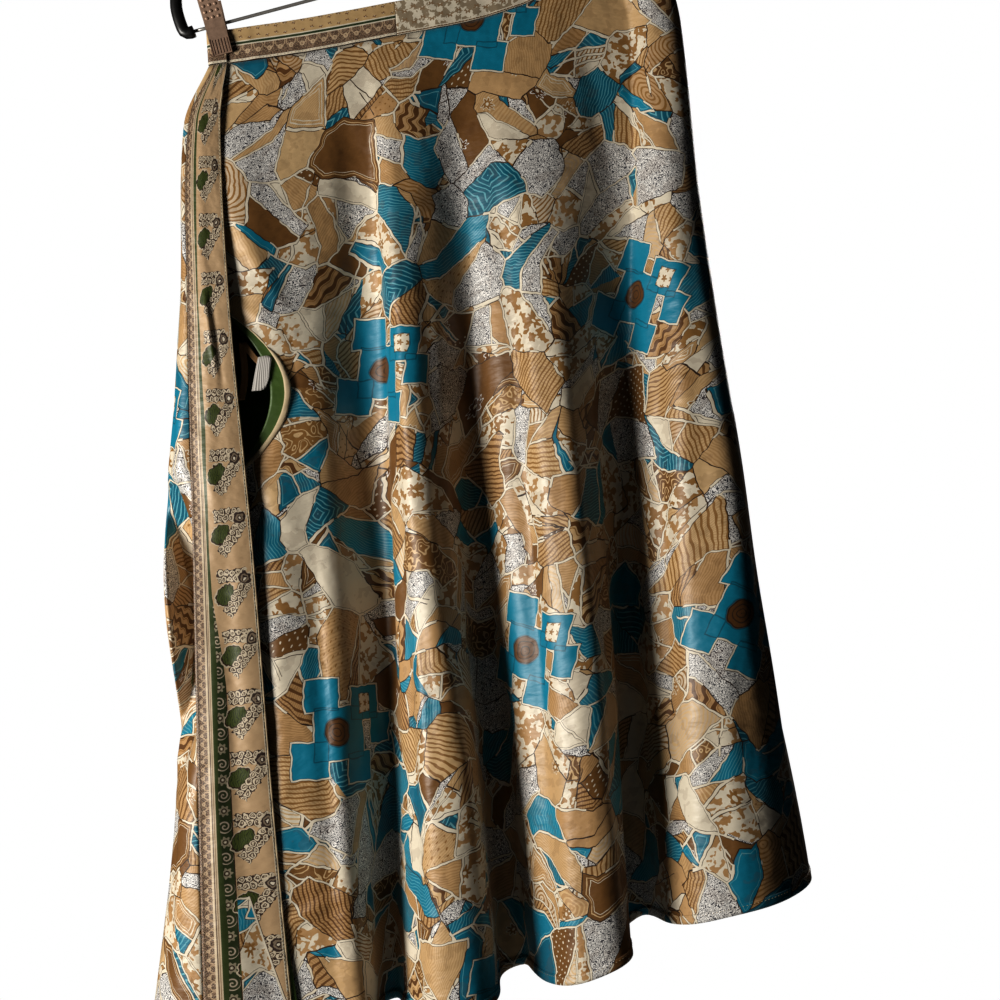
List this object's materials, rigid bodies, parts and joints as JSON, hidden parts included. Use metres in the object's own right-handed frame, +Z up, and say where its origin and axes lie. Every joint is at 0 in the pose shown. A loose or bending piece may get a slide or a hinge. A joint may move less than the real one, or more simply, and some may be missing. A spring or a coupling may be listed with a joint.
{
  "type": "wrap skirt on a clip hanger",
  "caption": "Long flared wrap skirt of patchwork-print satin with a border along its free edge, clipped by its waistband to a bar hanger.",
  "frame": {"origin": "the inside top of the hanger's hook, where a rail or a peg holds it", "axes": "+Z up; +X to the right when the front of the skirt is seen; +Y from the front of the skirt to its back"},
  "size_m": [0.6564, 0.2076, 1.2187],
  "materials": {
    "print": "soft satin with an all-over patchwork print in tan, cream, brown and teal",
    "border": "soft satin with a small floral border print on tan",
    "green_lining": "soft plain satin",
    "white_tape": "blank woven tape",
    "black_plastic": "moulded, slightly glossy",
    "wire": "plated wire",
    "clip_metal": "worn plated sheet"
  },
  "bodies": {
    "root": {"front_panel": "print", "back_panel": "print", "wrap_side": "print", "border_band": "border", "under_facing": "green_lining", "border_facing": "green_lining", "waistband_front": "border", "waistband_back": "border", "waistband_wrap": "border", "label": "white_tape", "loop": "border", "hanger_frame": "black_plastic", "hanger_bar": "wire", "hanger_hook": "wire", "clip_left": "clip_metal", "clip_right": "clip_metal"}
  },
  "joints": []
}
